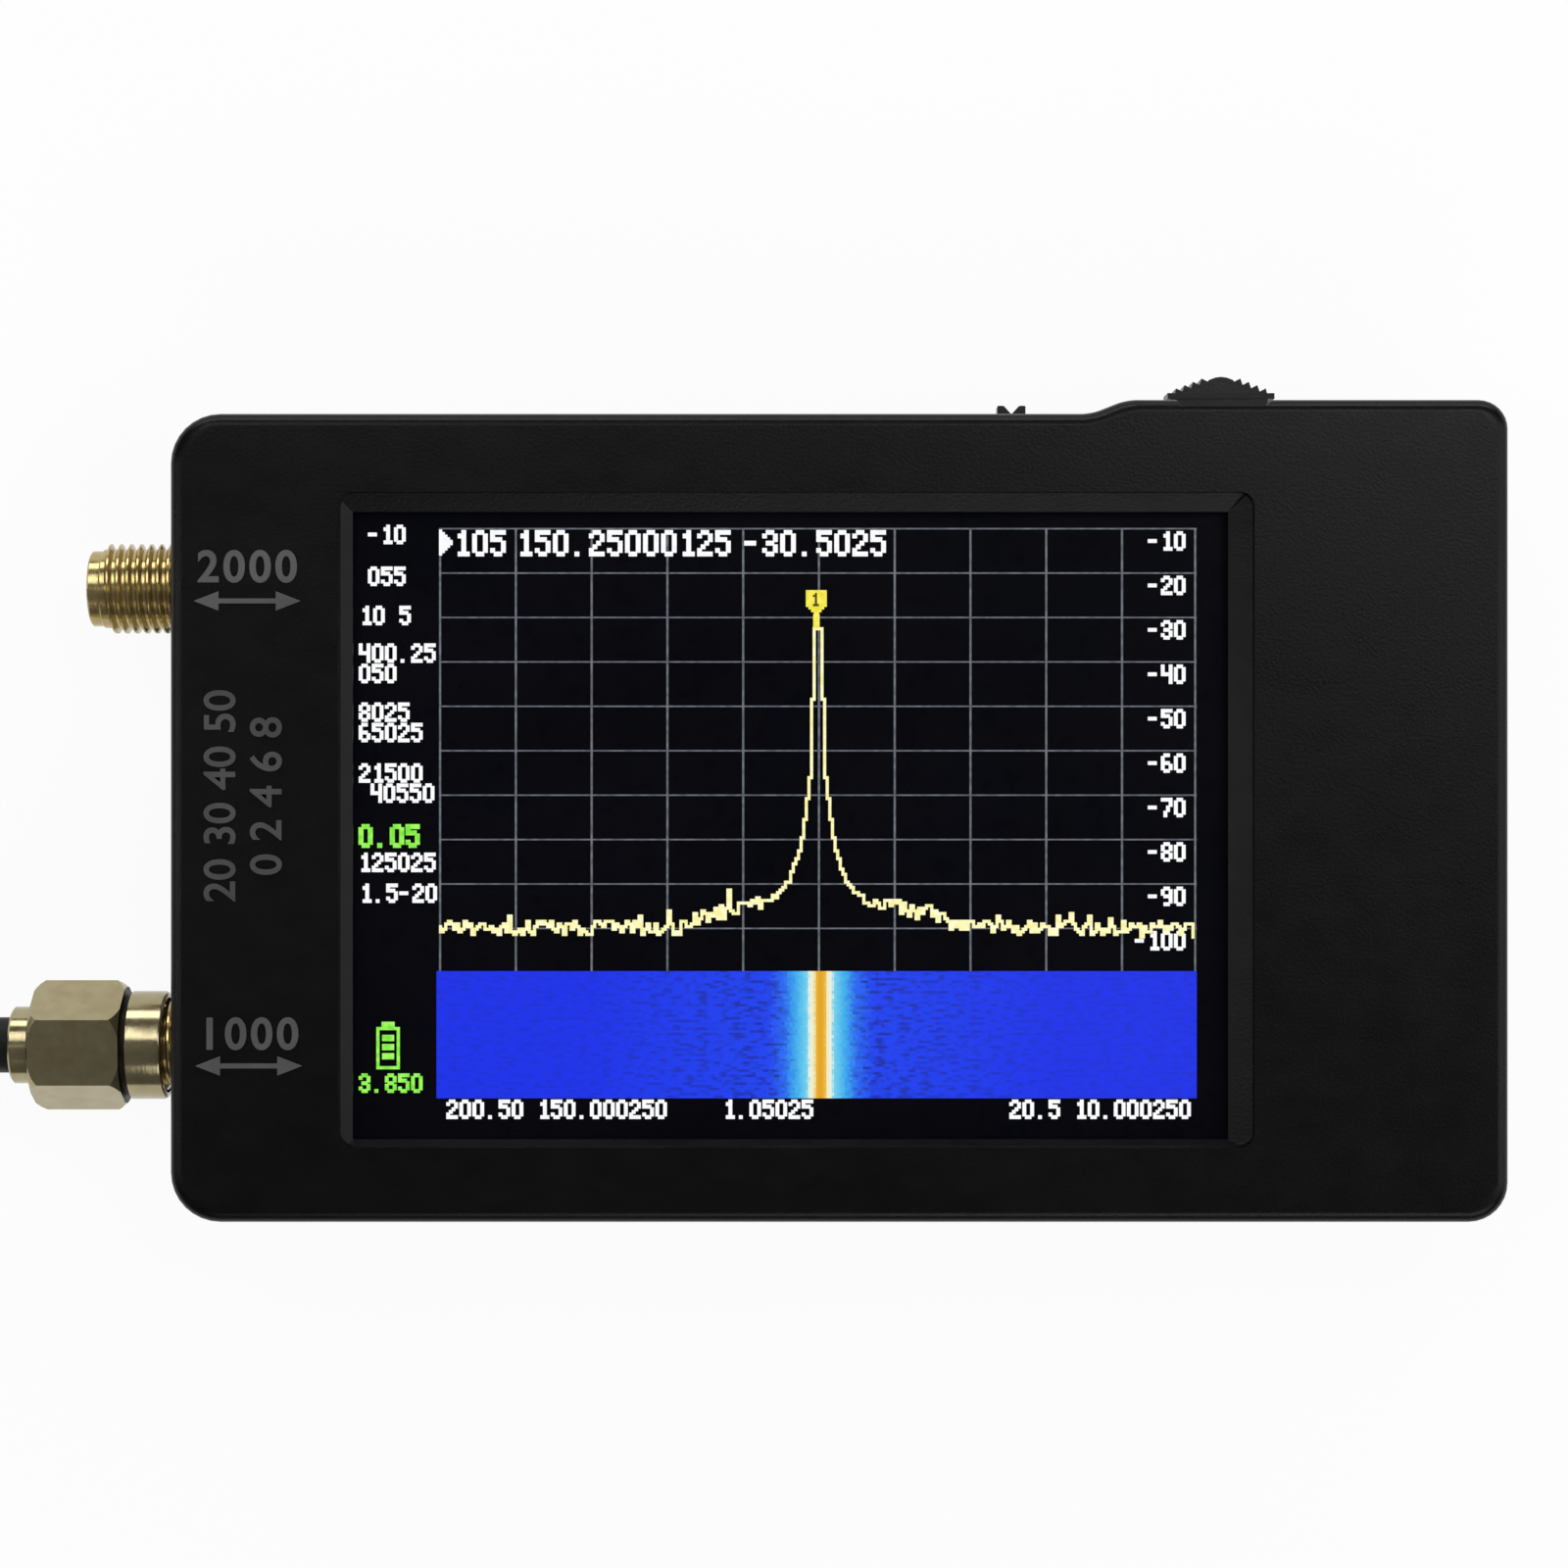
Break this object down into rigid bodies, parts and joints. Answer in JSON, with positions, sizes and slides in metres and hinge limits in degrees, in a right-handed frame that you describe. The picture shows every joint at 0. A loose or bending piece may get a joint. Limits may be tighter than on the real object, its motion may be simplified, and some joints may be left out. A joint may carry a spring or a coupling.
{
  "type": "handheld spectrum analyzer",
  "caption": "Flat black pocket instrument with a recessed colour touch screen, threaded coaxial ports, a jog lever, a slide power switch and a short screw-on test lead.",
  "frame": {"origin": "on the table, under the middle of the instrument's box without its test lead, with the instrument lying on its back", "axes": "+X towards the right of the screen, +Y towards its top edge with the jog lever, +Z out of the screen"},
  "size_m": [0.1687, 0.0586, 0.0171],
  "materials": {
    "case_plastic": "fine satin moulded texture",
    "control_plastic": "satin",
    "screw_steel": "blackened",
    "touch_film": "gloss with a few scuffs",
    "display_screen": "lit display, gloss",
    "white_plastic": "satin",
    "white_insulator": "waxy",
    "grey_foam": "closed-cell foam",
    "amber_film": "satin film",
    "board_laminate": "solder mask",
    "chip_resin": "moulded resin",
    "stamped_steel": "tinned sheet",
    "battery_wrap": "foil pouch",
    "red_wire": "satin",
    "black_wire": "satin",
    "port_gold": "gold plate, bright",
    "plug_nickel": "nickel plate, bright",
    "boot_sleeve": "shrunk sleeve, satin",
    "lead_jacket": "satin"
  },
  "bodies": {
    "case": {"front_case": "case_plastic", "rear_case": "case_plastic", "case_screw_1": "screw_steel", "case_screw_2": "screw_steel", "case_screw_3": "screw_steel", "case_screw_4": "screw_steel", "touch_panel": "touch_film", "display_glass": "display_screen", "display_backlight": "white_plastic", "display_foam": "grey_foam", "display_flex": "amber_film", "main_board": "board_laminate", "processor_chip": "chip_resin", "radio_chip_1": "chip_resin", "radio_chip_2": "chip_resin", "shield_can_1": "stamped_steel", "shield_can_2": "stamped_steel", "usb_shell": "stamped_steel", "usb_tongue": "chip_resin", "battery": "battery_wrap", "battery_pad": "grey_foam", "battery_socket": "white_plastic", "battery_plug": "white_plastic", "battery_wire_red": "red_wire", "battery_wire_black": "black_wire", "power_switch_body": "stamped_steel", "jog_switch_body": "stamped_steel", "upper_port_body": "port_gold", "upper_port_insulator": "white_insulator", "upper_port_contact": "port_gold", "lower_port_body": "port_gold", "lower_port_insulator": "white_insulator", "lower_port_contact": "port_gold"},
    "power_knob": {"power_switch_knob": "control_plastic"},
    "jog_carriage": {"jog_carriage": "white_plastic"},
    "jog_lever": {"jog_lever": "control_plastic"},
    "lead": {"near_plug_body": "plug_nickel", "near_plug_insulator": "white_insulator", "near_plug_pin": "port_gold", "near_plug_boot": "boot_sleeve", "lead_run": "lead_jacket", "lead_coil": "lead_jacket", "far_plug_boot": "boot_sleeve", "far_plug_body": "plug_nickel", "far_plug_insulator": "white_insulator", "far_plug_pin": "port_gold"},
    "near_nut": {"near_plug_nut": "plug_nickel"},
    "far_nut": {"far_plug_nut": "plug_nickel"}
  },
  "joints": [
    {"name": "power_slide", "type": "slide", "parent": "case", "child": "power_knob", "axis": [1, 0, 0], "range_m": [0, 0.002]},
    {"name": "jog_push", "type": "slide", "parent": "case", "child": "jog_carriage", "axis": [0, -1, 0], "range_m": [0, 0.00035], "stiffness_N_per_m": 2000},
    {"name": "jog_tilt", "type": "hinge", "parent": "jog_carriage", "child": "jog_lever", "pos_m": [0.03047, 0.02229, 0.0061], "axis": [0, 0, 1], "range_deg": [-8, 8], "stiffness_Nm_per_rad": 0.04},
    {"name": "lead_travel", "type": "slide", "parent": "case", "child": "lead", "axis": [-1, 0, 0], "range_m": [0, 0.0053]},
    {"name": "near_nut_turn", "type": "hinge", "parent": "lead", "child": "near_nut", "pos_m": [-0.04902, -0.01779, 0.0084], "axis": [-1, 0, 0], "range_deg": [0, 2707]},
    {"name": "far_nut_turn", "type": "hinge", "parent": "lead", "child": "far_nut", "pos_m": [-0.08468, 0.01061, 0.0047], "axis": [1, 0, 0], "continuous": true}
  ],
  "couplings": [
    {"joint": "near_nut_turn", "follows": "lead_travel", "rad_per_m": 8904.7}
  ]
}
